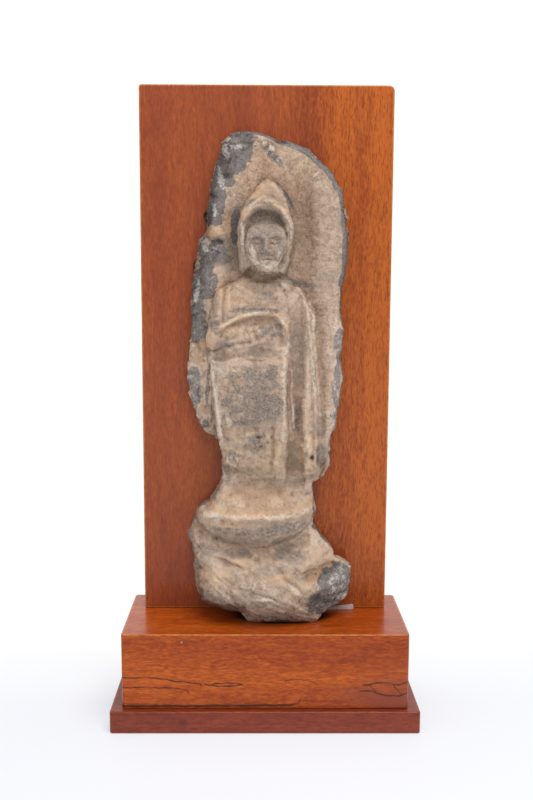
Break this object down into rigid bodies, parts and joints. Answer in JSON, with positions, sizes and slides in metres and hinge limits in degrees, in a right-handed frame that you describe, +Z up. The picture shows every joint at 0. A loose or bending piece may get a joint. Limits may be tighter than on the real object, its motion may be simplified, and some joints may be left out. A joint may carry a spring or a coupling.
{
  "type": "stone relief statue on display stand",
  "caption": "Weathered stone relief fragment of a hooded standing figure on a lotus pedestal, mounted on a mahogany stand with back board.",
  "frame": {"origin": "middle of the plinth's underside, on the surface the stand rests on", "axes": "+Z up, -Y the way the carved figure faces, +X to the viewer's right"},
  "size_m": [0.272, 0.118, 0.564],
  "materials": {
    "stone": "rough, earth-crusted",
    "board_wood": "satin lacquer",
    "block_wood": "semi-gloss lacquer",
    "plinth_wood": "semi-gloss lacquer",
    "peg_metal": "satin",
    "clear_plastic": "clear, slightly hazed"
  },
  "bodies": {
    "root": {"stone_relief": "stone", "back_board": "board_wood", "stand_block": "block_wood", "stand_plinth": "plinth_wood", "mount_peg_upper": "peg_metal", "mount_peg_lower": "peg_metal", "packing_shim": "clear_plastic"}
  },
  "joints": []
}
